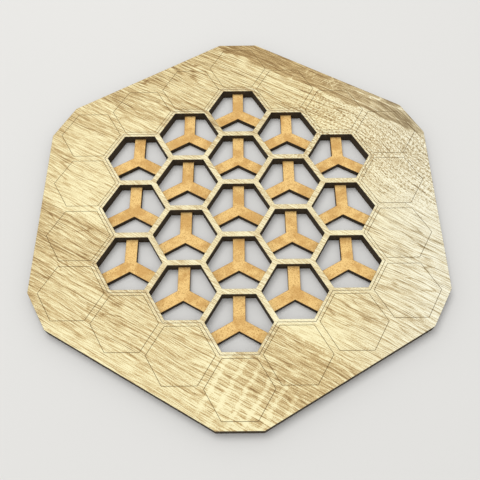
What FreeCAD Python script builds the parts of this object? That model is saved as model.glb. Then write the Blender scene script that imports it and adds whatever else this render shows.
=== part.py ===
import FreeCAD, Part
import os
import math
import Sketcher

# Hex game board: two laser-cut sheets, one on the other, with an oak face on the upper one.
# The origin is the middle of the underside. +Z is up, +Y runs towards the top of the board.

# Driving sizes, in millimetres, but for the one that is a count.
SIZES = (
    ("tile_across", 79.0, "hex tile, flat to flat, and the engraved sea outlines"),
    ("tile_clearance", 1.0, "how much wider a window is than a tile"),
    ("window_wall", 8.0, "wood left between two windows"),
    ("land_rings", 2, "count: rings of windows round the middle one"),
    ("side_rim", 13.8, "from the sea outlines' corners to a long side"),
    ("corner_rim", 11.5, "from a corner sea outline to the short side beside it"),
    ("arm_width", 17.0, "one arm of a tile rest"),
    ("rest_sheet_thickness", 8.0, "lower sheet"),
    ("window_sheet_thickness", 7.4, "upper sheet without its face"),
    ("oak_face_thickness", 0.6, "oak face on the upper sheet"),
    ("line_width", 0.5, "engraved line"),
    ("line_depth", 0.3, "engraved line"),
)

# Lengths that are sums of the sizes, by the sizes' names.
TILE = ("tile_across",)
WINDOW = ("tile_across", "tile_clearance")
PITCH = ("tile_across", "tile_clearance", "window_wall")
SIDE_RIM = ("side_rim",)
CORNER_RIM = ("corner_rim",)
ARM = ("arm_width",)
LINE = ("line_width",)

# Directions are in degrees, counter-clockwise from +X. A cell is a hexagon on its flat side,
# so its corners lie at whole turns and the middles of its sides halfway between them.
CELL_SIDES = 6
REST_ARMS = 3
CELL_TURN = 360.0 / CELL_SIDES
HALF_TURN = CELL_TURN / 2
REST_TURN = 360.0 / REST_ARMS
UP = CELL_TURN + HALF_TURN
RIGHT = 0.0
# A hexagon's corner lies this many times its flat-to-flat size from its middle.
CORNER = 0.5 / math.cos(math.radians(HALF_TURN))
# A row of cells steps off from the upright column in this direction.
ROW_DIRECTION = UP - REST_TURN
VOLUME_TOLERANCE = 1e-6

doc = FreeCAD.newDocument("HexGameBoard")
sheet = doc.addObject("Spreadsheet::Sheet", "Sizes")
for row, (name, value, note) in enumerate(SIZES, start=1):
    sheet.set(f"A{row}", name)
    sheet.set(f"B{row}", str(value))
    sheet.setAlias(f"B{row}", name)
    sheet.set(f"C{row}", note)
doc.recompute()
land_rings = int(sheet.land_rings)


def formula(*terms):
    """Write a sum of (size names, factor) terms as an expression on the sheet."""
    return " + ".join(f"{factor!r} * Sizes.{name}" for names, factor in terms for name in names)


def walk(*steps):
    """Give the point reached by steps of (size names, factor, direction) from the middle.

    It is kept as an X and a Y factor for each size, so that it follows the sheet.
    """
    point = {}
    for names, factor, direction in steps:
        turn = math.radians(direction)
        for name in names:
            x, y = point.get(name, (0.0, 0.0))
            point[name] = (x + factor * math.cos(turn), y + factor * math.sin(turn))
    return point


def place(point):
    """Give a walked point's X and Y at the sheet's present sizes."""
    return [sum(factors[axis] * getattr(sheet, name) for name, factors in point.items()) for axis in (0, 1)]


def area(loop):
    """Give the area inside a loop of walked points."""
    corners = [place(point) for point in loop]
    pairs = zip(corners, corners[1:] + corners[:1])
    return abs(sum(x1 * y2 - x2 * y1 for (x1, y1), (x2, y2) in pairs)) / 2


def board_outline():
    """Give the board's twelve corners: a hexagon on its point with its six corners cut off."""
    sea_ring = land_rings + 1
    long_side = ((PITCH, sea_ring * math.cos(math.radians(HALF_TURN))), (TILE, CORNER), (SIDE_RIM, 1.0))
    short_side = ((PITCH, sea_ring), (TILE, 0.5), (CORNER_RIM, 1.0))
    # Two neighbouring sides meet where each one's distance from the middle, times this,
    # is walked square to the other side's direction.
    share = 1.0 / math.sin(math.radians(HALF_TURN))
    corners = []
    for side in range(2 * CELL_SIDES):
        this_side, next_side = (long_side, short_side) if side % 2 == 0 else (short_side, long_side)
        direction = HALF_TURN * side
        steps = [(names, factor * share, direction + HALF_TURN - UP) for names, factor in this_side]
        steps += [(names, factor * share, direction + UP) for names, factor in next_side]
        corners.append(walk(*steps))
    return corners


def hexagon(names, centre=(), line_widths=0.0):
    """Give the corners of a cell as wide as the named sizes, plus so many line widths."""
    turns = [CELL_TURN * side for side in range(CELL_SIDES)]
    return [walk(*centre, (names, CORNER, turn), (LINE, line_widths * CORNER, turn)) for turn in turns]


def rest_gap():
    """Give the opening in the middle window between the rest's upright arm and the next one."""
    middle = UP - REST_TURN / 2
    return [
        walk((ARM, 0.5 / math.sin(math.radians(REST_TURN / 2)), middle)),
        walk((WINDOW, 0.5, UP - REST_TURN), (ARM, 0.5, middle + HALF_TURN)),
        walk((WINDOW, CORNER, middle - HALF_TURN)),
        walk((WINDOW, CORNER, middle + HALF_TURN)),
        walk((WINDOW, 0.5, UP), (ARM, 0.5, RIGHT)),
    ]


def coast_band():
    """Give a sixth of the coast line as a band, mitred at its corners.

    It runs midway along the walls between the outer windows and the sea, from the top cell
    to the next corner cell: over each cell's upper side and down its upper right side.
    """
    path = []
    for cell in range(land_rings + 1):
        centre = ((PITCH, land_rings, UP), (PITCH, cell, ROW_DIRECTION))
        first_mitre = UP + HALF_TURN if cell == 0 else UP - HALF_TURN
        path.append((centre + ((PITCH, CORNER, UP + HALF_TURN),), first_mitre))
        path.append((centre + ((PITCH, CORNER, UP - HALF_TURN),), UP - HALF_TURN))
    outer = [walk(*steps, (LINE, CORNER, mitre)) for steps, mitre in path]
    inner = [walk(*steps, (LINE, -CORNER, mitre)) for steps, mitre in path]
    return outer + inner[::-1]


def hold(sketch, line, point, corner):
    """Hold the start of a line at a walked point by its distances from the middle."""
    for axis, (kind, value) in enumerate((("DistanceX", corner.x), ("DistanceY", corner.y))):
        index = sketch.addConstraint(Sketcher.Constraint(kind, -1, 1, line, 1, value))
        terms = [((name,), factors[axis]) for name, factors in point.items()]
        sketch.setExpression(f"Constraints[{index}]", formula(*terms))


def draw_sketch(body, name, loops, level=None):
    """Draw closed loops of walked points on the body's underside or on a level above it."""
    sketch = body.newObject("Sketcher::SketchObject", name)
    planes = [feature for feature in body.Origin.OriginFeatures if feature.Role == "XY_Plane"]
    sketch.AttachmentSupport = [(planes[0], "")]
    sketch.MapMode = "FlatFace"
    if level:
        sketch.setExpression("AttachmentOffset.Base.z", f"Sizes.{level}")
    for loop in loops:
        corners = [FreeCAD.Vector(*place(point)) for point in loop]
        ends = corners[1:] + corners[:1]
        lines = [sketch.addGeometry(Part.LineSegment(*pair)) for pair in zip(corners, ends)]
        for line, after in zip(lines, lines[1:] + lines[:1]):
            sketch.addConstraint(Sketcher.Constraint("Coincident", line, 2, after, 1))
        for line, point, corner in zip(lines, loop, corners):
            hold(sketch, line, point, corner)
    return sketch


def draw_rows(body):
    """Draw an empty sketch whose own level axis points along the rows of cells."""
    sketch = draw_sketch(body, f"{body.Name}_rows", [])
    turn = FreeCAD.Rotation(FreeCAD.Vector(0, 0, 1), ROW_DIRECTION)
    sketch.AttachmentOffset = FreeCAD.Placement(FreeCAD.Vector(), turn)
    return sketch


def along(body, name, axis):
    """Repeat along a sketch's axis, once more than there are rings of windows."""
    pattern = body.newObject("PartDesign::LinearPattern", name)
    pattern.Direction = axis
    pattern.setExpression("Length", formula(*[((size,), land_rings) for size in PITCH]))
    pattern.Occurrences = land_rings + 1
    return pattern


def around(body, name, axis, copies):
    """Repeat round a sketch's axis, in a full circle."""
    pattern = body.newObject("PartDesign::PolarPattern", name)
    pattern.Axis = axis
    pattern.Angle = 360.0
    pattern.Occurrences = copies
    return pattern


def repeat(body, feature, patterns):
    """Repeat a cut by patterns, one after the other, and make the result the body's tip."""
    multiple = body.newObject("PartDesign::MultiTransform", f"{feature.Name}_all")
    multiple.Originals = [feature]
    multiple.Transformations = patterns
    body.Tip = multiple


def repeat_in_windows(body, feature, copies_in_window=1):
    """Repeat a cut from the middle cell in all the windows.

    A rhombus of cells, turned three times about the middle, covers them all. The rows that two
    turns share fall on each other.
    """
    name = feature.Name
    middle = (feature.Profile[0], ["N_Axis"])
    patterns = [around(body, f"{name}_in_window", middle, copies_in_window)] if copies_in_window > 1 else []
    patterns += [
        along(body, f"{name}_column", (feature.Profile[0], ["V_Axis"])),
        along(body, f"{name}_row", (draw_rows(body), ["H_Axis"])),
        around(body, f"{name}_around", middle, REST_ARMS),
    ]
    repeat(body, feature, patterns)


def add_sheet(label, thickness, below):
    """Start a sheet as a body that lies on the sheets below and has the board's outline."""
    body = doc.addObject("PartDesign::Body", label)
    body.Label = label
    if below:
        body.setExpression("Placement.Base.z", formula((below, 1.0)))
    pad = body.newObject("PartDesign::Pad", f"{label}_blank")
    pad.Profile = draw_sketch(body, f"{label}_outline", [board_outline()])
    pad.setExpression("Length", f"Sizes.{thickness}")
    return body


def cut(body, name, loops, level, depth=None):
    """Cut loops down from a level, through the sheet or as deep as the size says."""
    pocket = body.newObject("PartDesign::Pocket", f"{body.Name}_{name}")
    pocket.Profile = draw_sketch(body, f"{body.Name}_{name}_sketch", loops, level)
    if depth:
        pocket.setExpression("Length", f"Sizes.{depth}")
    else:
        pocket.Type = "ThroughAll"
    return pocket


def make_rest_sheet():
    """Lower sheet: three gaps in each window leave a rest with three arms under the tile."""
    body = add_sheet("rest_sheet", "rest_sheet_thickness", ())
    gap = cut(body, "gap", [rest_gap()], "rest_sheet_thickness")
    repeat_in_windows(body, gap, REST_ARMS)
    return body


def make_window_sheet():
    """Upper sheet: one window for each tile."""
    body = add_sheet("window_sheet", "window_sheet_thickness", ("rest_sheet_thickness",))
    repeat_in_windows(body, cut(body, "window", [hexagon(WINDOW)], "window_sheet_thickness"))
    return body


def make_oak_face():
    """Oak face on the upper sheet, with the sea outlines and the coast line engraved in it."""
    below = ("rest_sheet_thickness", "window_sheet_thickness")
    top = "oak_face_thickness"
    body = add_sheet("oak_face", top, below)
    repeat_in_windows(body, cut(body, "window", [hexagon(WINDOW)], top))
    sea_cell = ((PITCH, land_rings + 1, UP),)
    sea_loops = [hexagon(TILE, sea_cell, 1.0), hexagon(TILE, sea_cell, -1.0)]
    sea = cut(body, "sea_outline", sea_loops, top, "line_depth")
    middle = (sea.Profile[0], ["N_Axis"])
    row = along(body, "sea_outline_row", (draw_rows(body), ["H_Axis"]))
    repeat(body, sea, [row, around(body, "sea_outline_around", middle, CELL_SIDES)])
    coast = cut(body, "coast", [coast_band()], top, "line_depth")
    middle = (coast.Profile[0], ["N_Axis"])
    repeat(body, coast, [around(body, "coast_around", middle, CELL_SIDES)])
    return body


def expected_volumes():
    """Work out each sheet's volume from its areas and thicknesses."""
    windows = 1 + 3 * land_rings * (land_rings + 1)
    sea_cells = CELL_SIDES * (land_rings + 1)
    board = area(board_outline())
    framed = board - windows * area(hexagon(WINDOW))
    sea_lines = sea_cells * (area(hexagon(TILE, (), 1.0)) - area(hexagon(TILE, (), -1.0)))
    lines = sea_lines + CELL_SIDES * area(coast_band())
    return {
        "rest_sheet": (board - windows * REST_ARMS * area(rest_gap())) * sheet.rest_sheet_thickness,
        "window_sheet": framed * sheet.window_sheet_thickness,
        "oak_face": framed * sheet.oak_face_thickness - lines * sheet.line_depth,
    }


bodies = [make_rest_sheet(), make_window_sheet(), make_oak_face()]
doc.recompute()

for feature in doc.Objects:
    if "Invalid" in feature.State or "Error" in feature.State:
        raise RuntimeError(f"{feature.Label} failed: {feature.State}")
for body in bodies:
    shape = body.Shape
    if shape.isNull() or not shape.isValid() or len(shape.Solids) != 1:
        raise RuntimeError(f"{body.Label} isn't one valid solid")
    expected = expected_volumes()[body.Label]
    if abs(shape.Volume - expected) > VOLUME_TOLERANCE * expected:
        raise RuntimeError(f"{body.Label} has {shape.Volume} mm3 instead of {expected}")
    box = shape.BoundBox
    size = f"{box.XLength:.2f} x {box.YLength:.2f} x {box.ZLength:.2f} mm"
    print(f"{body.Label}: {size}, {shape.Volume:.0f} mm3")

os.makedirs("parts", exist_ok=True)
for body in bodies:
    body.Shape.exportStep(f"parts/{body.Label}.step")
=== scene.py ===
"""Looks of the hex game board: two laser-cut sheets of fibreboard, the upper one with an oak face.

Lengths are in metres. +Z is up, +Y runs towards the top of the board, and the origin is the
middle of its underside. A cell is a hexagon that lies on its flat side.
"""

import logging
import math
from dataclasses import dataclass, fields
from enum import Enum
from typing import ClassVar, Union

import bpy
import numpy as np
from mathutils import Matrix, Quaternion, Vector
from mathutils.geometry import delaunay_2d_cdt


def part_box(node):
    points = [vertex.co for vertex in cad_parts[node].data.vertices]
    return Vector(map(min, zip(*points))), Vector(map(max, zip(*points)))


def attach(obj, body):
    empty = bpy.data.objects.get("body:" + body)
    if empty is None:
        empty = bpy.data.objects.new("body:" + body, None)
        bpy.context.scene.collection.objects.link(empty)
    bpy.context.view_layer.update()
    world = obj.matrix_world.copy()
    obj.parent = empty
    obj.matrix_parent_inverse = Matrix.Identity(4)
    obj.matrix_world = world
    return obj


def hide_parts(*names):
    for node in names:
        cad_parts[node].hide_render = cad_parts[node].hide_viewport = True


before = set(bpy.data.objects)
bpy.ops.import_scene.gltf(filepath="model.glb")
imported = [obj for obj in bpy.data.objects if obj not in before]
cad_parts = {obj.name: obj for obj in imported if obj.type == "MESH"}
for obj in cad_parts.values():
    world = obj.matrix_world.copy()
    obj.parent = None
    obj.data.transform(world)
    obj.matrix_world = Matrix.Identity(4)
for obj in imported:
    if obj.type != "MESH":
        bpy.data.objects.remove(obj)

LOG = logging.getLogger("hex_game_board")
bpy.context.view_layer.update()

Array = np.ndarray
Socket = bpy.types.NodeSocket
Value = Union[float, tuple, Socket]

# A laser line's neighbours in a mesh are merged where they are nearer than this.
MERGE = 1e-7


@dataclass(frozen=True)
class Colour:
    """A colour as it looks, each part from 0 to 255."""

    red: float
    green: float
    blue: float

    def linear(self) -> tuple[float, float, float, float]:
        """Give the colour as light, by the sRGB curve, with full alpha."""
        shown = np.array([self.red, self.green, self.blue]) / 255.0
        light = np.where(shown <= 0.04045, shown / 12.92, ((shown + 0.055) / 1.055) ** 2.4)
        return (*light.tolist(), 1.0)


class Graph:
    """A node tree that is being wired. Each method adds a node and gives its output."""

    def __init__(self, tree: bpy.types.NodeTree) -> None:
        """Start on a tree.

        Args:
            tree: The node tree that takes the nodes.
        """
        self.tree = tree

    def add(self, kind: str, inputs: dict, **settings: object) -> bpy.types.Node:
        """Add a node.

        Args:
            kind: The node's type in Blender.
            inputs: Numbers, colours or sockets, by the name or place of the input they go to.
            settings: The node's own options.

        Returns:
            The new node.
        """
        node = self.tree.nodes.new(kind)
        for name, value in settings.items():
            setattr(node, name, value)
        for key, value in inputs.items():
            if isinstance(value, bpy.types.NodeSocket):
                self.tree.links.new(value, node.inputs[key])
            else:
                node.inputs[key].default_value = value
        return node

    def math(self, operation: str, *values: Value) -> Socket:
        """Give the result of one arithmetic step on up to three values."""
        return self.add("ShaderNodeMath", dict(enumerate(values)), operation=operation).outputs[0]

    def product(self, *values: Value) -> Socket:
        """Give the product of two or more values."""
        result = values[0]
        for value in values[1:]:
            result = self.math("MULTIPLY", result, value)
        return result

    def rise(self, value: Value, low: Value, high: Value) -> Socket:
        """Give 0 below low, 1 above high and a smooth step between, also where high is less."""
        inputs = {"Value": value, "From Min": low, "From Max": high}
        return self.add("ShaderNodeMapRange", inputs, interpolation_type="SMOOTHSTEP").outputs[0]

    def between(self, value: Value, start: Value, end: Value) -> Socket:
        """Give the value from 0 to 1 stretched to run from start to end."""
        inputs = {"Value": value, "To Min": start, "To Max": end}
        return self.add("ShaderNodeMapRange", inputs).outputs[0]

    def blend(self, share: Value, first: Value, second: Value) -> Socket:
        """Give a colour that goes from the first to the second as the share goes from 0 to 1."""
        inputs = {0: share, 6: first, 7: second}
        return self.add("ShaderNodeMix", inputs, data_type="RGBA").outputs[2]

    def point(self, x: Value, y: Value, z: Value = 0.0) -> Socket:
        """Give a vector made of three numbers."""
        return self.add("ShaderNodeCombineXYZ", {0: x, 1: y, 2: z}).outputs[0]

    def parts(self, vector: Socket) -> tuple[Socket, Socket, Socket]:
        """Give a vector's three numbers."""
        return tuple(self.add("ShaderNodeSeparateXYZ", {0: vector}).outputs)

    def stretched(self, vector: Socket, size: Value, offset: Value = (0.0, 0.0, 0.0)) -> Socket:
        """Give a vector divided by a size for each axis, then moved by an offset."""
        scaled = self.add("ShaderNodeVectorMath", {0: vector, 1: size}, operation="DIVIDE")
        inputs = {0: scaled.outputs[0], 1: offset}
        return self.add("ShaderNodeVectorMath", inputs, operation="ADD").outputs[0]

    def noise(self, vector: Socket, detail: float = 2.0, roughness: float = 0.5) -> Socket:
        """Give soft noise from 0 to 1 whose spots are one unit of the vector wide."""
        inputs = {"Vector": vector, "Scale": 1.0, "Detail": detail, "Roughness": roughness}
        return self.add("ShaderNodeTexNoise", inputs).outputs["Fac"]


class Effect:
    """A shader node group that is built once and then placed with its own values.

    A subclass is a frozen dataclass. Its fields are the group's number inputs, and reads and
    gives name the sockets that are wired.
    """

    title: ClassVar[str]
    reads: ClassVar[dict[str, str]] = {"Place": "NodeSocketVector"}
    gives: ClassVar[dict[str, str]] = {"Mask": "NodeSocketFloat"}

    @classmethod
    def wire(cls, graph: Graph, given: dict[str, Socket]) -> dict[str, Socket]:
        """Wire the group from its inputs and give its outputs by name."""
        raise NotImplementedError

    @classmethod
    def group(cls) -> bpy.types.NodeTree:
        """Give the effect's group, which is made the first time."""
        tree = bpy.data.node_groups.get(cls.title)
        if tree is None:
            tree = bpy.data.node_groups.new(cls.title, "ShaderNodeTree")
            for name, kind in cls.reads.items():
                tree.interface.new_socket(name=name, in_out="INPUT", socket_type=kind)
            for size in fields(cls):
                tree.interface.new_socket(name=size.name, in_out="INPUT", socket_type="NodeSocketFloat")
            for name, kind in cls.gives.items():
                tree.interface.new_socket(name=name, in_out="OUTPUT", socket_type=kind)
            graph = Graph(tree)
            given = {socket.name: socket for socket in graph.add("NodeGroupInput", {}).outputs if socket.name}
            graph.add("NodeGroupOutput", cls.wire(graph, given))
        return tree

    def place(self, graph: Graph, *sources: Socket) -> Socket:
        """Put the group in a material with this effect's values.

        Args:
            graph: The material's graph.
            sources: What goes to the wired inputs, in their order.

        Returns:
            The group's first output.
        """
        node = graph.tree.nodes.new("ShaderNodeGroup")
        node.node_tree = self.group()
        for name, source in zip(self.reads, sources):
            graph.tree.links.new(source, node.inputs[name])
        for size in fields(self):
            node.inputs[size.name].default_value = getattr(self, size.name)
        return node.outputs[0]


@dataclass(frozen=True)
class Streaks(Effect):
    """Short dark strokes along the grain, longer than wide, that come and go."""

    title: ClassVar[str] = "grain streaks"
    length: float
    width: float
    cover: float
    softness: float
    seed: float

    @classmethod
    def wire(cls, graph: Graph, given: dict[str, Socket]) -> dict[str, Socket]:
        """Cut noise, stretched along X, off at a level that leaves the cover."""
        size = graph.point(given["length"], given["width"], 1.0)
        offset = graph.point(given["seed"], given["seed"], given["seed"])
        strokes = graph.noise(graph.stretched(given["Place"], size, offset), 3.0, 0.55)
        level = graph.math("SUBTRACT", 1.0, given["cover"])
        top = graph.math("ADD", level, given["softness"])
        return {"Mask": graph.rise(strokes, level, top)}


@dataclass(frozen=True)
class Growth(Effect):
    """Thin lines that wander along the grain, as between years of growth."""

    title: ClassVar[str] = "growth lines"
    length: float
    spacing: float
    thickness: float
    seed: float

    @classmethod
    def wire(cls, graph: Graph, given: dict[str, Socket]) -> dict[str, Socket]:
        """Draw where stretched noise is near its middle, and break the lines up."""
        size = graph.point(given["length"], given["spacing"], 1.0)
        offset = graph.point(given["seed"], given["seed"], given["seed"])
        place = graph.stretched(given["Place"], size, offset)
        away = graph.math("ABSOLUTE", graph.math("SUBTRACT", graph.noise(place, 1.0), 0.5))
        line = graph.rise(away, given["thickness"], 0.0)
        shift = graph.stretched(place, (1.3, 2.6, 1.0), (7.0, 3.0, 5.0))
        broken = graph.rise(graph.noise(shift, 1.0), 0.42, 0.62)
        return {"Mask": graph.product(line, broken)}


@dataclass(frozen=True)
class GrainBand(Effect):
    """A soft-edged stretch of the board, from start to end along the grain, low to high across."""

    title: ClassVar[str] = "grain band"
    start: float
    end: float
    end_softness: float
    low: float
    low_softness: float
    high: float
    high_softness: float

    @classmethod
    def wire(cls, graph: Graph, given: dict[str, Socket]) -> dict[str, Socket]:
        """Multiply four smooth steps, one at each edge."""
        along, across, _ = graph.parts(given["Place"])

        def edge(value: Socket, level: str, softness: str, sign: float) -> Socket:
            """Give a step up (sign 1) or down (sign -1), centred on its level."""
            half = graph.math("MULTIPLY", given[softness], sign)
            low = graph.math("SUBTRACT", given[level], half)
            return graph.rise(value, low, graph.math("ADD", given[level], half))

        mask = graph.product(
            edge(along, "start", "end_softness", 1.0),
            edge(along, "end", "end_softness", -1.0),
            edge(across, "low", "low_softness", 1.0),
            edge(across, "high", "high_softness", -1.0),
        )
        return {"Mask": mask}


@dataclass(frozen=True)
class Flecks(Effect):
    """Small spots, round or drawn out, such as chips in fibreboard and dust in print."""

    title: ClassVar[str] = "flecks"
    length: float
    width: float
    cover: float
    seed: float

    @classmethod
    def wire(cls, graph: Graph, given: dict[str, Socket]) -> dict[str, Socket]:
        """Cut fine noise off just below its peaks."""
        size = graph.point(given["length"], given["width"], given["width"])
        offset = graph.point(given["seed"], given["seed"], 0.0)
        spots = graph.noise(graph.stretched(given["Place"], size, offset), 1.0)
        level = graph.math("SUBTRACT", 1.0, given["cover"])
        return {"Mask": graph.rise(spots, level, graph.math("ADD", level, 0.1))}


@dataclass(frozen=True)
class Scorch(Effect):
    """Heat beside a laser cut: it follows the mesh's heat value, with an uneven edge."""

    title: ClassVar[str] = "laser scorch"
    reads: ClassVar[dict[str, str]] = {"Place": "NodeSocketVector", "Heat": "NodeSocketFloat"}
    reach: float
    patch: float

    @classmethod
    def wire(cls, graph: Graph, given: dict[str, Socket]) -> dict[str, Socket]:
        """Step up where heat, moved a little by noise, passes one less the reach."""
        size = graph.point(given["patch"], given["patch"], given["patch"])
        uneven = graph.noise(graph.stretched(given["Place"], size), 2.0)
        shifted = graph.math("ADD", given["Heat"], graph.between(uneven, -0.35, 0.35))
        level = graph.math("SUBTRACT", 1.0, given["reach"])
        return {"Mask": graph.rise(shifted, level, graph.math("ADD", level, 0.5))}


def new_material(name: str) -> tuple[Graph, bpy.types.Node]:
    """Make an empty material.

    Args:
        name: The material's name.

    Returns:
        Its graph and its Principled BSDF, already wired to the output.
    """
    material = bpy.data.materials.new(name)
    material.use_nodes = True
    graph = Graph(material.node_tree)
    shader = material.node_tree.nodes["Principled BSDF"]
    return graph, shader


def finished(graph: Graph) -> bpy.types.Material:
    """Give the material that holds a graph."""
    return next(m for m in bpy.data.materials if m.node_tree == graph.tree)


def set_inputs(graph: Graph, shader: bpy.types.Node, values: dict[str, Value]) -> None:
    """Set or wire a shader's sockets by name."""
    for name, value in values.items():
        if isinstance(value, bpy.types.NodeSocket):
            graph.tree.links.new(value, shader.inputs[name])
        else:
            shader.inputs[name].default_value = value


def relief(graph: Graph, height: Socket, depth: float) -> Socket:
    """Give a bumped normal for a height from 0 to 1 that stands for a depth in metres."""
    return graph.add("ShaderNodeBump", {"Height": height, "Distance": depth, "Strength": 1.0}).outputs[0]


@dataclass(frozen=True)
class Stave:
    """A stretch of the board that differs from the rest.

    Attributes:
        band: Where it is.
        tone: How much lighter it is, or darker if negative.
        contrast: How much more its streaks show, or less if negative.
        feather: How far its edges move across the grain, to and fro.
        feather_size: How long one such move is.
    """

    band: GrainBand
    tone: float
    contrast: float = 0.0
    feather: float = 0.0
    feather_size: float = 0.03

    def mask(self, graph: Graph, turned: Socket) -> Socket:
        """Give 1 inside the stave and 0 outside, with its own edges."""
        if not self.feather:
            return self.band.place(graph, turned)
        along, across, _ = graph.parts(turned)
        slanted = graph.math("ADD", along, graph.product(across, 0.5))
        moves = graph.noise(graph.stretched(graph.point(slanted, across), (self.feather_size, 0.03, 1.0)), 1.0)
        moved = graph.math("ADD", across, graph.between(moves, -self.feather, self.feather))
        return self.band.place(graph, graph.point(along, moved))


@dataclass(frozen=True)
class OakFigure:
    """Pale oak face: its grain runs from upper left to lower right, in staves of several tones.

    A tone from 0 to 1 is added up from the staves and the streaks. It is then read as a colour
    from deep brown to light straw.
    """

    grain_turn: float = 30.0
    ground: float = 0.935
    warm: tuple = (
        (0.00, Colour(142, 112, 66)),
        (0.25, Colour(177, 147, 95)),
        (0.50, Colour(203, 176, 123)),
        (0.75, Colour(227, 207, 153)),
        (1.00, Colour(250, 240, 192)),
    )
    # Cooler, paler shades: painted sheen on the right side, and the strips between the windows.
    cool: tuple = (
        (0.00, Colour(142, 124, 90)),
        (0.25, Colour(179, 162, 125)),
        (0.50, Colour(205, 190, 152)),
        (0.75, Colour(229, 218, 184)),
        (1.00, Colour(250, 246, 222)),
    )
    strokes: tuple = (
        (Streaks(0.090, 0.0026, 0.50, 0.10, 8.3), -0.15),
        (Streaks(0.090, 0.0016, 0.48, 0.08, 1.7), -0.30),
        (Streaks(0.032, 0.0010, 0.46, 0.08, 5.1), -0.34),
        (Streaks(0.030, 0.0024, 0.45, 0.10, 3.9), 0.10),
        (Growth(0.085, 0.016, 0.035, 4.2), -0.34),
    )
    staves: tuple = (
        Stave(GrainBand(-0.36, -0.10, 0.08, -0.180, 0.05, -0.129, 0.0015), -0.13, 0.2),
        Stave(GrainBand(-0.30, 0.06, 0.06, -0.262, 0.02, -0.129, 0.010), -0.03, 0.15),
        Stave(GrainBand(0.115, 0.36, 0.02, -0.235, 0.02, -0.133, 0.0015), -0.24, -0.2, 0.007, 0.0028),
        Stave(GrainBand(0.115, 0.21, 0.02, -0.131, 0.001, -0.095, 0.012), 0.13, -0.6, 0.004),
        Stave(GrainBand(-0.32, -0.16, 0.03, 0.066, 0.006, 0.084, 0.006), -0.20, 0.2),
        Stave(GrainBand(-0.33, -0.24, 0.02, 0.006, 0.005, 0.022, 0.005), -0.14, 0.2),
        Stave(GrainBand(-0.33, -0.17, 0.03, -0.128, 0.002, -0.070, 0.030), 0.10, -0.25),
        Stave(GrainBand(-0.40, 0.15, 0.05, -0.300, 0.010, -0.262, 0.010), -0.01, -0.2),
        Stave(GrainBand(-0.40, 0.08, 0.04, 0.085, 0.04, 0.250, 0.005), -0.03, 0.55),
        Stave(GrainBand(-0.08, 0.11, 0.04, 0.180, 0.02, 0.255, 0.005), 0.06, 0.0),
        Stave(GrainBand(0.15, 0.34, 0.03, 0.000, 0.05, 0.150, 0.030), 0.16, 0.5),
        Stave(GrainBand(0.10, 0.34, 0.03, 0.160, 0.03, 0.262, 0.008), -0.15, -0.1),
        Stave(GrainBand(-0.18, 0.19, 0.02, 0.252, 0.0015, 0.330, 0.01), -0.48, 0.1, 0.009),
        Stave(GrainBand(-0.02, 0.17, 0.02, 0.2605, 0.0006, 0.2622, 0.0006), 0.36, 0.0, 0.006, 0.05),
        Stave(GrainBand(0.04, 0.15, 0.02, 0.2800, 0.0006, 0.2820, 0.0006), 0.36, 0.0, 0.006, 0.06),
    )
    lumps: GrainBand = GrainBand(-0.01, 0.30, 0.05, 0.12, 0.04, 0.250, 0.010)
    burnt: Colour = Colour(98, 70, 10)

    def grain(self, graph: Graph, turned: Socket) -> Socket:
        """Bend the board's place, turned to the grain, so that lines along it wander."""
        along, across, _ = graph.parts(turned)
        slow = graph.noise(graph.stretched(turned, (0.12, 0.06, 1.0)), 1.0)
        ripple = graph.noise(graph.stretched(turned, (0.020, 0.012, 1.0), (3.0, 1.0, 0.0)), 2.0)
        bent = graph.math("ADD", across, graph.between(slow, -0.006, 0.006))
        bent = graph.math("ADD", bent, graph.between(ripple, -0.0004, 0.0004))
        corner = graph.product(graph.rise(along, 0.06, 0.20), graph.rise(across, 0.06, 0.16))
        lean = graph.product(corner, graph.math("SUBTRACT", along, 0.06), 0.28)
        return graph.point(along, graph.math("ADD", bent, lean))

    def saw_marks(self, graph: Graph, turned: Socket) -> Socket:
        """Give the tone of the saw marks: pale stripes along the grain and, in one patch, across."""
        along, across, _ = graph.parts(turned)
        uneven = graph.noise(graph.stretched(turned, (0.030, 0.012, 1.0), (9.0, 2.0, 0.0)), 2.0)
        striped = GrainBand(0.080, 0.330, 0.025, -0.285, 0.020, -0.134, 0.003).place(graph, turned)
        crossed = GrainBand(0.082, 0.200, 0.018, -0.280, 0.020, -0.188, 0.018).place(graph, turned)

        def stripes(place: Socket, spacing: float, turns: float) -> Socket:
            """Give stripes at a spacing, moved sideways unevenly by a share of it."""
            phase = graph.math("ADD", graph.math("DIVIDE", place, spacing), graph.between(uneven, -turns, turns))
            return graph.rise(graph.math("COSINE", graph.product(phase, math.tau)), 0.35, 0.95)

        lengthwise = graph.product(striped, graph.between(stripes(across, 0.0118, 0.7), -0.03, 0.24))
        crosswise = graph.product(crossed, graph.between(stripes(along, 0.0200, 0.35), -0.03, 0.26))
        return graph.math("ADD", lengthwise, crosswise)

    def flame(self, graph: Graph, turned: Socket) -> Socket:
        """Give the tone of the flame's rays: pale threads across it and a row of short pale ticks."""
        band = GrainBand(-0.16, 0.19, 0.02, 0.250, 0.003, 0.330, 0.01).place(graph, turned)
        leaning = graph.add("ShaderNodeMapping", {0: turned, 2: (0.0, 0.0, math.radians(20.0))}).outputs[0]
        rays = Growth(0.070, 0.020, 0.028, 6.4).place(graph, leaning)
        steep = graph.add("ShaderNodeMapping", {0: turned, 2: (0.0, 0.0, math.radians(-78.0))}).outputs[0]
        ticks = Growth(0.020, 0.0065, 0.10, 2.4).place(graph, steep)
        row = GrainBand(-0.035, 0.035, 0.010, 0.268, 0.002, 0.284, 0.003).place(graph, turned)
        return graph.math("ADD", graph.product(band, rays, 0.40), graph.product(row, ticks, 0.45))

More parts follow.
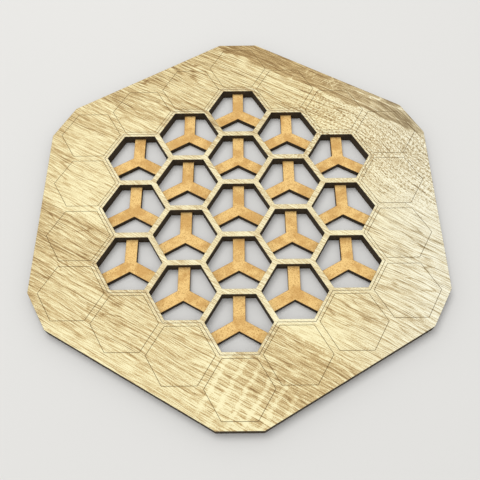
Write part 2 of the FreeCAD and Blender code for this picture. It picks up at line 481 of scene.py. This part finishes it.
    def tone(self, graph: Graph, place: Socket, turned: Socket, grain: Socket, land: Socket) -> Socket:
        """Add up the tone: the ground, the staves, the streaks, painted shade along the left and upper left rim, and
        fine unevenness.
        """
        tone = graph.math("ADD", self.ground, graph.product(land, -0.08))
        contrast = graph.math("ADD", 1.0, graph.product(land, -0.6))
        for stave in self.staves:
            mask = stave.mask(graph, turned)
            tone = graph.math("ADD", tone, graph.product(mask, stave.tone))
            contrast = graph.math("ADD", contrast, graph.product(mask, stave.contrast))
        broad = graph.noise(graph.stretched(grain, (0.14, 0.028, 1.0), (5.0, 2.0, 0.0)), 2.0)
        tone = graph.math("ADD", tone, graph.between(broad, -0.14, 0.14))
        for effect, weight in self.strokes:
            share = graph.product(effect.place(graph, grain), contrast, weight)
            tone = graph.math("ADD", tone, share)
        x, y, _ = graph.parts(place)
        # Painted shade: the tone falls off towards the left and upper left rim.
        upper = graph.math("ADD", graph.product(x, -0.5), graph.product(y, 0.866))
        edge = graph.math("MAXIMUM", graph.product(x, -1.0), upper)
        tone = graph.math("ADD", tone, graph.product(graph.rise(edge, 0.240, 0.290), -0.14))
        fibre = graph.noise(graph.stretched(grain, (0.0200, 0.0011, 1.0)), 2.0)
        mottle = graph.noise(graph.stretched(place, (0.0014, 0.0014, 1.0)), 1.0)
        lumps = graph.noise(graph.stretched(grain, (0.0034, 0.0022, 1.0), (1.0, 8.0, 0.0)), 1.0)
        scaly = self.lumps.place(graph, turned)
        lumps = graph.product(scaly, graph.between(lumps, -1.3, 1.3))
        fibre = graph.product(graph.between(fibre, -0.90, 0.90), graph.between(scaly, 1.0, 0.45))
        tone = graph.math("ADD", tone, fibre)
        tone = graph.math("ADD", tone, graph.between(mottle, -0.45, 0.45))
        tone = graph.math("ADD", tone, lumps)
        tone = graph.math("ADD", tone, self.saw_marks(graph, turned))
        return graph.math("ADD", tone, self.flame(graph, turned))

    def shaded(self, graph: Graph, tone: Socket, shades: tuple) -> Socket:
        """Read the tone as a colour in a row of shades."""
        node = graph.add("ShaderNodeValToRGB", {0: tone})
        stops = node.color_ramp.elements
        for place, _ in shades[2:]:
            stops.new(place)
        for stop, (place, colour) in zip(stops, shades):
            stop.position, stop.color = place, colour.linear()
        return node.outputs[0]

    def coloured(self, graph: Graph, tone: Socket, place: Socket, land: Socket) -> Socket:
        """Give the colour: cooler and paler to the right, which is painted sheen, and a little cooler between the
        windows.
        """
        x, _, _ = graph.parts(place)
        # Painted sheen: the right side blends towards the cooler, paler shades.
        share = graph.math("MAXIMUM", graph.rise(x, 0.10, 0.30), graph.product(land, 0.28))
        return graph.blend(share, self.shaded(graph, tone, self.warm), self.shaded(graph, tone, self.cool))

    def material(self) -> bpy.types.Material:
        """Build the oak face's material."""
        graph, shader = new_material("oak_figure")
        place = graph.add("ShaderNodeTexCoord", {}).outputs["Object"]
        turn = (0.0, 0.0, math.radians(self.grain_turn))
        turned = graph.add("ShaderNodeMapping", {0: place, 2: turn}).outputs[0]
        grain = self.grain(graph, turned)
        heat = graph.add("ShaderNodeAttribute", {}, attribute_name="laser_heat").outputs["Fac"]
        land = graph.add("ShaderNodeAttribute", {}, attribute_name="laser_land").outputs["Fac"]
        tone = self.tone(graph, place, turned, grain, land)
        colour = self.coloured(graph, tone, place, land)
        colour = graph.blend(graph.rise(heat, 1.0, 1.8), colour, self.burnt.linear())
        set_inputs(graph, shader, {
            "Base Color": colour,
            "Roughness": graph.between(tone, 0.66, 0.50),
            "Specular IOR Level": 0.3,
            "Normal": relief(graph, tone, 0.00015),
        })
        return finished(graph)


@dataclass(frozen=True)
class CharredCut:
    """Laser-cut wall: charred, with upright marks of the beam's pulses."""

    char: Colour = Colour(62, 50, 34)
    brown: Colour = Colour(108, 84, 54)

    def material(self) -> bpy.types.Material:
        """Build the material of a cut wall, which reads the wall's UV map in metres."""
        graph, shader = new_material("charred_cut")
        along = graph.add("ShaderNodeUVMap", {}, uv_map="wall").outputs[0]
        pulses = graph.noise(graph.stretched(along, (0.0006, 0.02, 1.0)), 3.0)
        patches = graph.noise(graph.stretched(along, (0.014, 0.006, 1.0)), 2.0)
        worn = graph.product(graph.rise(pulses, 0.45, 0.8), graph.rise(patches, 0.4, 0.75))
        height = graph.math("ADD", pulses, graph.product(patches, 0.4))
        set_inputs(graph, shader, {
            "Base Color": graph.blend(worn, self.char.linear(), self.brown.linear()),
            "Roughness": graph.between(pulses, 0.7, 0.9),
            "Specular IOR Level": 0.25,
            "Normal": relief(graph, height, 0.00015),
        })
        return finished(graph)


@dataclass(frozen=True)
class RawFibreboard:
    """Bare fibreboard: a warm orange tan with fine chips, browned beside the cuts."""

    name: str = "raw_fibreboard"
    ground: Colour = Colour(247, 208, 135)
    shade: Colour = Colour(192, 139, 68)
    chip: Colour = Colour(120, 74, 34)
    scorched: Colour = Colour(158, 106, 54)

    def material(self) -> bpy.types.Material:
        """Build the material of a bare face."""
        graph, shader = new_material(self.name)
        place = graph.add("ShaderNodeTexCoord", {}).outputs["Object"]
        cloud = graph.noise(graph.stretched(place, (0.016, 0.016, 0.016)), 3.0)
        felt = graph.noise(graph.stretched(place, (0.0015, 0.0015, 0.0015)), 2.0, 0.6)
        chips = Flecks(0.0034, 0.0024, 0.30, 2.0).place(graph, place)
        heat = graph.add("ShaderNodeAttribute", {}, attribute_name="laser_heat").outputs["Fac"]
        brown = Scorch(0.5, 0.006).place(graph, place, heat)
        blotches = graph.product(graph.rise(cloud, 0.40, 0.64), 0.55)
        colour = graph.blend(blotches, self.ground.linear(), self.shade.linear())
        colour = graph.blend(graph.product(graph.rise(felt, 0.45, 0.70), 0.8), colour, self.shade.linear())
        colour = graph.blend(graph.product(chips, 0.5), colour, self.chip.linear())
        colour = graph.blend(graph.product(brown, 0.5), colour, self.scorched.linear())
        set_inputs(graph, shader, {
            "Base Color": colour,
            "Roughness": graph.between(felt, 0.72, 0.86),
            "Specular IOR Level": 0.25,
            "Normal": relief(graph, felt, 0.0001),
        })
        return finished(graph)


class Finish(Enum):
    """The finishes that the sheets' faces take."""

    OAK = OakFigure()
    CUT = CharredCut()
    BARE = RawFibreboard()


def finish_material(finish: Finish) -> bpy.types.Material:
    """Give a finish's material, which is made the first time."""
    if finish.name not in MADE:
        MADE[finish.name] = finish.value.material()
    return MADE[finish.name]


MADE: dict[str, bpy.types.Material] = {}


def unit(degrees: Union[float, Array]) -> Array:
    """Give unit vectors: the cosine and sine of each direction, counter-clockwise from +X."""
    turn = np.radians(degrees)
    return np.stack([np.cos(turn), np.sin(turn)], axis=-1)


def side_normals(corners: Array) -> Array:
    """Give each side's unit normal on the right of travel: the side turned by a right angle."""
    side = np.roll(corners, -1, axis=0) - corners
    normal = np.stack([side[:, 1], -side[:, 0]], axis=1)
    return normal / np.linalg.norm(normal, axis=1, keepdims=True)


def mitred(corners: Array, offset: float) -> Array:
    """Move a closed loop of corners to the right of travel, with its corners mitred.

    A corner moves by the offset times the sum of its two sides' normals over one plus their
    dot product.

    Args:
        corners: The loop's corners, one row each.
        offset: How far each side moves, to the left if it is negative.

    Returns:
        The moved corners.
    """
    after = side_normals(corners)
    before = np.roll(after, 1, axis=0)
    share = 1.0 + np.sum(before * after, axis=1, keepdims=True)
    return corners + offset * (before + after) / share


@dataclass(frozen=True)
class Layout:
    """Where the board's cells, cuts and lines are. The wood lies on the left of every path."""

    tile_across: float = 0.079
    tile_clearance: float = 0.001
    window_wall: float = 0.008
    land_rings: int = 2
    side_rim: float = 0.0138
    corner_rim: float = 0.0115
    arm_width: float = 0.017

    @property
    def window_across(self) -> float:
        """Give a window's size, flat to flat."""
        return self.tile_across + self.tile_clearance

    @property
    def pitch(self) -> float:
        """Give the distance between the middles of two neighbouring cells."""
        return self.window_across + self.window_wall

    @staticmethod
    def hexagon(across: float, centre: Array) -> Array:
        """Give a cell's corners: the flat-to-flat size over root three, at whole sixths of a turn."""
        return centre + across / math.sqrt(3.0) * unit(60.0 * np.arange(6))

    def ring(self, number: int) -> Array:
        """Give the middles of a ring of cells: from each corner cell, steps along the ring's side."""
        corner = self.pitch * number * unit(90.0 - 60.0 * np.arange(6))[:, None]
        step = self.pitch * unit(-30.0 - 60.0 * np.arange(6))[:, None]
        return (corner + np.arange(number)[:, None] * step).reshape(-1, 2)

    def windows(self) -> list[Array]:
        """Give each window's corners, clockwise, so that the wood is on the left."""
        rings = [np.zeros((1, 2))] + [self.ring(number) for number in range(1, self.land_rings + 1)]
        return [self.hexagon(self.window_across, centre)[::-1] for centre in np.concatenate(rings)]

    def rest_gaps(self) -> list[Array]:
        """Give the gaps beside the rests' arms: three in each window, a third of a turn apart."""
        apothem, half_arm = self.window_across / 2, self.arm_width / 2
        corner = self.window_across / math.sqrt(3.0)
        gap = np.array([
            half_arm / math.sin(math.radians(60.0)) * unit(30.0),
            apothem * unit(-30.0) + half_arm * unit(60.0),
            corner * unit(0.0),
            corner * unit(60.0),
            apothem * unit(90.0) + half_arm * unit(0.0),
        ])
        turns = [np.stack([unit(120.0 * third), unit(120.0 * third + 90.0)]) for third in range(3)]
        rings = [np.zeros((1, 2))] + [self.ring(number) for number in range(1, self.land_rings + 1)]
        return [(centre + gap @ turn)[::-1] for centre in np.concatenate(rings) for turn in turns]

    def outline(self) -> Array:
        """Give the board's twelve corners, where each side's line meets the next one's.

        A point at distances a and b along two unit normals, a twelfth of a turn apart, is their
        sum with shares (a - b cos) / sin squared and (b - a cos) / sin squared.
        """
        sea = self.land_rings + 1
        long_side = self.pitch * sea * math.cos(math.radians(30.0)) + self.tile_across / math.sqrt(3.0) + self.side_rim
        short_side = self.pitch * sea + self.tile_across / 2 + self.corner_rim
        normals = unit(30.0 * np.arange(12))
        distance = np.tile([long_side, short_side], 6)
        after = np.roll(distance, -1)
        cosine, square = math.cos(math.radians(30.0)), math.sin(math.radians(30.0)) ** 2
        first = ((distance - after * cosine) / square)[:, None] * normals
        second = ((after - distance * cosine) / square)[:, None] * np.roll(normals, -1, axis=0)
        return first + second

    def sea_outlines(self) -> list[Array]:
        """Give the engraved outlines of the sea cells, in the ring round the windows."""
        return [self.hexagon(self.tile_across, centre) for centre in self.ring(self.land_rings + 1)]

    def coast(self) -> Array:
        """Give the engraved line midway between windows and sea: the outer cells' outer corners."""
        cells = self.ring(self.land_rings).reshape(6, self.land_rings, 2)
        turns = 90.0 - 60.0 * np.arange(6)[:, None]
        reach = self.pitch / math.sqrt(3.0)
        left = cells + reach * unit(turns + 30.0)
        right = cells + reach * unit(turns - 30.0)
        pairs = np.stack([left, right], axis=2).reshape(6, -1, 2)
        ends = (self.pitch * self.land_rings * unit(turns[:, 0] - 60.0) + reach * unit(turns[:, 0] + 30.0))[:, None]
        return np.concatenate([pairs, ends], axis=1).reshape(-1, 2)[::-1]


@dataclass(frozen=True)
class LaserPath:
    """A closed path of the laser round corners that its beam rounds."""

    corners: Array
    radius: float
    steps: int = 4

    def trace(self) -> tuple[Array, Array]:
        """Work out the path's points and its unit normals on the right of travel.

        At a corner the normal turns evenly from one side's to the next side's. The arc's middle
        is the corner less the radius times the mitre, and a point is the middle plus the radius
        times the normal, with the radius' sign that of the turn.

        Returns:
            The points and the normals, one row each, all on the corners' arcs.
        """
        after = side_normals(self.corners)
        before = np.roll(after, 1, axis=0)
        dot = np.sum(before * after, axis=1)
        cross = before[:, 0] * after[:, 1] - before[:, 1] * after[:, 0]
        turn = np.arctan2(cross, dot)
        reach = np.sign(turn)[:, None] * self.radius
        angle = np.arctan2(before[:, 1], before[:, 0])[:, None] + turn[:, None] * np.linspace(0, 1, self.steps)
        normals = unit(np.degrees(angle))
        middles = self.corners - reach * (before + after) / (1.0 + dot)[:, None]
        points = middles[:, None] + reach[:, None] * normals
        return points.reshape(-1, 2), normals.reshape(-1, 2)

    def beside(self, offset: float) -> Array:
        """Give the path moved to the right: each point plus the offset times its normal."""
        points, normals = self.trace()
        return points + offset * normals


@dataclass(frozen=True)
class Ring:
    """A closed loop of points in a level face, with what the materials read there.

    Attributes:
        points: The loop's points, one row each.
        heat: How strongly the laser has heated it: 0 for cool, 1 at a cut, 2 in a line.
        land: 1 inside the coast line and 0 outside.
    """

    points: Array
    heat: float
    land: float = 0.0


@dataclass(frozen=True)
class Patch:
    """A part of a mesh: points, faces of three or four corners, and what its materials read."""

    points: Array
    faces: Array
    finish: Finish
    heat: Array
    land: Array
    wall: Array


def sweep(path: LaserPath, profile: Array, finish: Finish, heat: float, land: float = 0.0) -> Patch:
    """Carry a profile along a closed path.

    Point (i, j) is path point i plus profile offset j times the path's normal, at profile
    height j. The wall map holds the distance along the path and along the profile.

    Args:
        path: The path.
        profile: Offsets and heights, one row each.
        finish: The faces' finish.
        heat: The heat of the whole strip.
        land: 1 if the strip lies inside the coast line.

    Returns:
        The swept strip, closed along the path.
    """
    points, normals = path.trace()
    points, normals = np.vstack([points, points[:1]]), np.vstack([normals, normals[:1]])
    flat = points[:, None] + profile[None, :, :1] * normals[:, None]
    heights = np.broadcast_to(profile[None, :, 1:], (*flat.shape[:2], 1))
    along = np.concatenate([[0.0], np.cumsum(np.linalg.norm(np.diff(points, axis=0), axis=1))])
    down = np.concatenate([[0.0], np.cumsum(np.linalg.norm(np.diff(profile, axis=0), axis=1))])
    columns, rows = flat.shape[:2]
    first = np.arange(columns - 1)[:, None] * rows + np.arange(rows - 1)
    faces = np.stack([first, first + 1, first + rows + 1, first + rows], axis=-1).reshape(-1, 4)
    wall = np.stack(np.meshgrid(along, down, indexing="ij"), axis=-1).reshape(-1, 2)
    grid = np.concatenate([flat, heights], axis=2).reshape(-1, 3)
    return Patch(grid, faces, finish, np.full(len(grid), heat), np.full(len(grid), land), wall)


def flat_face(loops: list[Ring], rings: list[Ring], height: float, up: bool, finish: Finish) -> Patch:
    """Fill a level face between loops with triangles.

    The triangles are Delaunay ones that keep every loop's sides. One is kept where a ray from
    its middle crosses the loops an odd number of times.

    Args:
        loops: The rings that bound the face.
        rings: The rings that only carry the heat and the land.
        height: The face's height.
        up: Whether the face looks up.
        finish: The face's finish.

    Returns:
        The filled face.
    """
    both = loops + rings
    points = np.concatenate([ring.points for ring in both])
    counts = [len(ring.points) for ring in both]
    heat, land = (np.repeat([getattr(ring, name) for ring in both], counts) for name in ("heat", "land"))
    starts = np.cumsum([0] + counts)
    sides = [np.stack([np.arange(n), np.roll(np.arange(n), -1)], axis=1) for n in np.diff(starts)]
    edges = np.concatenate([side + start for side, start in zip(sides, starts)])
    found, _, triangles, *_ = delaunay_2d_cdt(points.tolist(), edges.tolist(), [], 0, 1e-9)
    if len(found) != len(points):
        raise ValueError(f"loops at height {height} touch or cross: {len(found)} of {len(points)} points")
    triangles = np.array(triangles)
    middles = points[triangles].mean(axis=1)
    bound = edges[: starts[len(loops)]]
    start, end = points[bound[:, 0]], points[bound[:, 1]]
    x, y = middles[:, :1], middles[:, 1:]
    spans = (start[:, 1] > y) != (end[:, 1] > y)
    rise = np.where(end[:, 1] == start[:, 1], 1.0, end[:, 1] - start[:, 1])
    crossing = start[:, 0] + (y - start[:, 1]) * (end[:, 0] - start[:, 0]) / rise
    kept = triangles[np.sum(spans & (x < crossing), axis=1) % 2 == 1]
    a, b, c = (points[kept[:, corner]] for corner in range(3))
    turns_left = np.cross(b - a, c - a) > 0
    kept[turns_left != up] = kept[turns_left != up][:, ::-1]
    grid = np.column_stack([points, np.full(len(points), height)])
    return Patch(grid, kept, finish, heat, land, points)


def joined(name: str, patches: list[Patch]) -> bpy.types.Object:
    """Join patches into one closed mesh object at the origin.

    Points that fall on each other are merged. The heat, the land and the wall map are kept for
    each face's corner, so that they may differ on the two sides of an edge.

    Args:
        name: The piece's name.
        patches: The parts of its surface.

    Returns:
        The new object.
    """
    shifts = np.cumsum([0] + [len(patch.points) for patch in patches])
    points = np.concatenate([patch.points for patch in patches])
    _, first, place = np.unique(np.round(points / MERGE), axis=0, return_index=True, return_inverse=True)
    place = place.ravel()
    order = sorted(range(len(patches)), key=lambda index: patches[index].faces.shape[1])
    faces = [patches[index].faces + shifts[index] for index in order]
    mesh = bpy.data.meshes.new(name)
    mesh.from_pydata(points[first].tolist(), [], [face for part in faces for face in place[part].tolist()])
    corners = np.concatenate([part.ravel() for part in faces])
    for read in ("heat", "land"):
        values = np.concatenate([getattr(patch, read) for patch in patches])[corners]
        attribute = mesh.attributes.new("laser_" + read, "FLOAT", "CORNER")
        attribute.data.foreach_set("value", values.astype(np.float32))
    wall = np.concatenate([patch.wall for patch in patches])[corners]
    mesh.uv_layers.new(name="wall").data.foreach_set("uv", wall.astype(np.float32).ravel())
    used = list(dict.fromkeys(patch.finish for patch in patches))
    slots = np.concatenate([np.full(len(patches[i].faces), used.index(patches[i].finish)) for i in order])
    for finish in used:
        mesh.materials.append(finish_material(finish))
    mesh.polygons.foreach_set("material_index", slots.astype(np.int32))
    mesh.update()
    sides = np.concatenate([np.stack([place[p], np.roll(place[p], -1, axis=1)], axis=2).reshape(-1, 2) for p in faces])
    _, shared = np.unique(np.sort(sides, axis=1), axis=0, return_counts=True)
    if np.any(shared != 2):
        LOG.warning("%s has %d open or doubled edges", name, int(np.sum(shared != 2)))
    piece = bpy.data.objects.new(name, mesh)
    bpy.context.scene.collection.objects.link(piece)
    return piece


@dataclass
class LaserCutSheet:
    """One sheet of the board: cut round its outline and through its openings.

    Attributes:
        layout: Where the board's cuts are.
        node: The CAD node that the sheet stands for.
        name: The piece's name.
        arris: The rounding of the sheet's sharp edges.
        corner_radius: How much the beam rounds a corner.
        kerf_lean: How much more wood the beam takes at the top of a cut than at its foot.
        arris_steps: The points on a rounded edge.
    """

    layout: Layout
    node: ClassVar[str]
    name: ClassVar[str]
    rounded_low: ClassVar[bool] = True
    rounded_high: ClassVar[bool] = True
    low_finish: ClassVar[Finish] = Finish.BARE
    high_finish: ClassVar[Finish] = Finish.BARE
    arris: float = 0.00015
    corner_radius: float = 0.0005
    kerf_lean: float = 0.00006
    arris_steps: int = 4
    heat_rings: tuple = ((0.0009, 0.5), (0.0026, 0.0))

    def openings(self) -> list[Array]:
        """Give the corners of each opening, with the wood on the left of travel."""
        raise NotImplementedError

    def levels(self) -> tuple[float, float]:
        """Give the heights of the sheet's two faces, as the CAD node has them."""
        low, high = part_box(self.node)
        return low.z, high.z

    def profile(self) -> Array:
        """Give the cut's section from the upper face to the lower one.

        It is a quarter circle at each rounded edge and leans back towards the top by the kerf's
        lean times the share of the height.
        """
        low, high = self.levels()
        turn = np.linspace(math.pi / 2, 0.0, self.arris_steps)
        quarter = self.arris * np.stack([np.cos(turn) - 1.0, np.sin(turn) - 1.0], axis=1)
        top = quarter if self.rounded_high else np.zeros((1, 2))
        foot = quarter[::-1] * (1.0, -1.0) if self.rounded_low else np.zeros((1, 2))
        profile = np.concatenate([top + (0.0, high), foot + (0.0, low)])
        profile[:, 0] -= self.kerf_lean * (profile[:, 1] - low) / (high - low)
        return profile

    def paths(self) -> list[LaserPath]:
        """Give the paths of all the cuts, the outline's first."""
        return [LaserPath(corners, self.corner_radius) for corners in [self.layout.outline(), *self.openings()]]

    def edges(self, offset: float) -> list[Ring]:
        """Give a face's edges at all the cuts, the outline's first, offset from the paths."""
        outline, *openings = self.paths()
        return [Ring(outline.beside(offset), 1.0)] + [Ring(path.beside(offset), 1.0, 1.0) for path in openings]

    def heat_edges(self) -> list[Ring]:
        """Give the rings beside each cut that carry the heat into the faces."""
        return [
            Ring(mitred(path.corners, -away), heat, float(order > 0))
            for order, path in enumerate(self.paths())
            for away, heat in self.heat_rings
        ]

    def patches(self) -> list[Patch]:
        """Give the sheet's surface: its walls and its two faces."""
        profile = self.profile()
        low, high = self.levels()
        walls = [sweep(path, profile, Finish.CUT, 1.0) for path in self.paths()]
        return walls + [
            flat_face(self.edges(profile[0, 0]), self.heat_edges(), high, True, self.high_finish),
            flat_face(self.edges(profile[-1, 0]), self.heat_edges(), low, False, self.low_finish),
        ]

    def build(self) -> bpy.types.Object:
        """Build the piece, have it ride on the board and stand for its CAD node."""
        piece = joined(self.name, self.patches())
        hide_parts(self.node)
        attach(piece, "root")
        LOG.info("%s: %d faces", piece.name, len(piece.data.polygons))
        return piece


@dataclass
class TileRests(LaserCutSheet):
    """Lower sheet: three gaps in each window leave a rest with three arms under the tile."""

    node: ClassVar[str] = "rest_sheet"
    name: ClassVar[str] = "tile_rests"

    def openings(self) -> list[Array]:
        """Give the gaps beside the rests' arms."""
        return self.layout.rest_gaps()


@dataclass
class WindowFrame(LaserCutSheet):
    """Upper sheet: one window for each tile. The oak face covers its top."""

    node: ClassVar[str] = "window_sheet"
    name: ClassVar[str] = "window_frame"
    rounded_high: ClassVar[bool] = False

    def openings(self) -> list[Array]:
        """Give the windows."""
        return self.layout.windows()


@dataclass
class OakFace(LaserCutSheet):
    """Oak face on the upper sheet, with the sea outlines and the coast line engraved in it."""

    node: ClassVar[str] = "oak_face"
    name: ClassVar[str] = "oak_top"
    rounded_low: ClassVar[bool] = False
    high_finish: ClassVar[Finish] = Finish.OAK
    kerf_lean: float = 0.0
    line_width: float = 0.0005
    line_depth: float = 0.0003
    line_radius: float = 0.0005
    line_heat: float = 2.0
    lip_heat: float = 1.6
    line_halo: float = 0.0006
    land_fade: float = 0.0035

    def openings(self) -> list[Array]:
        """Give the windows."""
        return self.layout.windows()

    def line_profile(self) -> Array:
        """Give an engraved line's section: a trough that is deep over most of its width."""
        share = np.linspace(-1.0, 1.0, 2 * self.arris_steps - 1)
        depth = self.line_depth * np.clip(np.cos(share * math.pi / 2), 0.0, None) ** 0.6
        return np.stack([share * self.line_width / 2, self.levels()[1] - depth], axis=1)

    def line_rings(self, path: LaserPath, land_left: float, land_right: float) -> tuple[list[Ring], list[Ring]]:
        """Give an engraved line's lips, and the rings beside them where its heat ends."""
        half = self.line_width / 2
        lips, halos = [], []
        for side, land in ((-1.0, land_left), (1.0, land_right)):
            lips.append(Ring(path.beside(side * half), self.lip_heat, land))
            halos.append(Ring(mitred(path.corners, side * (half + self.line_halo)), 0.0, land))
        return lips, halos

    def patches(self) -> list[Patch]:
        """Give the face's surface: walls, faces, and the troughs of the engraved lines."""
        low, high = self.levels()
        profile, trough = self.profile(), self.line_profile()
        coast = LaserPath(self.layout.coast(), self.line_radius)
        seas = [LaserPath(corners, self.line_radius) for corners in self.layout.sea_outlines()]
        walls = [sweep(path, profile, Finish.CUT, 1.0) for path in self.paths()]
        walls.append(sweep(coast, trough, self.high_finish, self.line_heat, 1.0))
        walls += [sweep(path, trough, self.high_finish, self.line_heat) for path in seas]
        lips, halos = self.line_rings(coast, 1.0, 1.0)
        for path in seas:
            sea_lips, sea_halos = self.line_rings(path, 0.0, 0.0)
            lips += sea_lips
            halos += sea_halos
        halos.append(Ring(mitred(coast.corners, self.land_fade), 0.0))
        return walls + [
            flat_face(self.edges(profile[0, 0]) + lips, self.heat_edges() + halos, high, True, self.high_finish),
            flat_face(self.edges(profile[-1, 0]), [], low, False, self.low_finish),
        ]


@dataclass(frozen=True)
class Studio:
    """Pale floor, soft light and the camera at the photograph's angle.

    Attributes:
        camera_place: Where the camera stands.
        camera_aim: The point of the board in the middle of the picture.
        camera_roll: How far the camera leans, in degrees, counter-clockwise.
        focal_length: The lens, in millimetres, for a picture as wide as the sensor.
    """

    camera_place: tuple = (0.006585, -0.436949, 0.771705)
    camera_aim: tuple = (0.001831, -0.053942, 0.016)
    camera_roll: float = -1.253
    focal_length: float = 44.92
    sensor: float = 36.0
    floor_size: float = 14.0
    floor_colour: Colour = Colour(226, 225, 222)
    sky: float = 0.70
    lamp_place: tuple = (-0.7, 1.0, 3.6)
    lamp_size: float = 2.4
    lamp_power: float = 62.0

    def add_camera(self) -> None:
        """Set the camera, aimed at the board and rolled about its own axis."""
        data = bpy.data.cameras.new("photo_camera")
        data.sensor_width, data.lens = self.sensor, self.focal_length
        camera = bpy.data.objects.new("photo_camera", data)
        aim = Vector(self.camera_aim) - Vector(self.camera_place)
        camera.location = self.camera_place
        camera.rotation_mode = "QUATERNION"
        roll = Quaternion((0.0, 0.0, 1.0), math.radians(self.camera_roll))
        camera.rotation_quaternion = aim.to_track_quat("-Z", "Y") @ roll
        bpy.context.scene.collection.objects.link(camera)
        bpy.context.scene.camera = camera

    def add_floor(self) -> None:
        """Lay the floor under the board."""
        half = self.floor_size / 2
        corners = half * np.array([(-1, -1, 0), (1, -1, 0), (1, 1, 0), (-1, 1, 0)])
        mesh = bpy.data.meshes.new("floor")
        mesh.from_pydata(corners.tolist(), [], [(0, 1, 2, 3)])
        graph, shader = new_material("pale_floor")
        place = graph.add("ShaderNodeTexCoord", {}).outputs["Object"]
        cloud = graph.noise(graph.stretched(place, (0.6, 0.6, 0.6)), 2.0)
        colour = self.floor_colour.linear()
        soft = tuple(0.97 * part for part in colour[:3]) + (1.0,)
        set_inputs(graph, shader, {
            "Base Color": graph.blend(cloud, colour, soft),
            "Roughness": 0.8,
            "Specular IOR Level": 0.2,
        })
        mesh.materials.append(finished(graph))
        floor = bpy.data.objects.new("floor", mesh)
        bpy.context.scene.collection.objects.link(floor)

    def add_lights(self) -> None:
        """Light the board with a pale sky and one large lamp behind it, to the left."""
        world = bpy.data.worlds.new("studio_sky")
        bpy.context.scene.world = world
        world.use_nodes = True
        graph = Graph(world.node_tree)
        background = world.node_tree.nodes["Background"]
        seen = graph.add("ShaderNodeLightPath", {}).outputs["Is Camera Ray"]
        set_inputs(graph, background, {
            "Color": (1.0, 1.0, 1.0, 1.0),
            "Strength": graph.between(seen, self.sky, 0.85),
        })
        data = bpy.data.lights.new("window_light", "AREA")
        data.size, data.energy = self.lamp_size, self.lamp_power
        lamp = bpy.data.objects.new("window_light", data)
        lamp.location = self.lamp_place
        lamp.rotation_mode = "QUATERNION"
        lamp.rotation_quaternion = (-Vector(self.lamp_place)).to_track_quat("-Z", "Y")
        lamp.visible_camera = False
        bpy.context.scene.collection.objects.link(lamp)

    def build(self) -> None:
        """Set up the whole studio, with colours shown as they are."""
        bpy.context.scene.view_settings.view_transform = "Standard"
        self.add_camera()
        self.add_floor()
        self.add_lights()


def main() -> None:
    """Build the sheets from the bottom up, then the studio."""
    logging.basicConfig(level=logging.INFO, format="%(name)s: %(message)s")
    layout = Layout()
    for sheet in (TileRests(layout), WindowFrame(layout), OakFace(layout)):
        sheet.build()
    Studio().build()


if __name__ == "__main__":
    main()
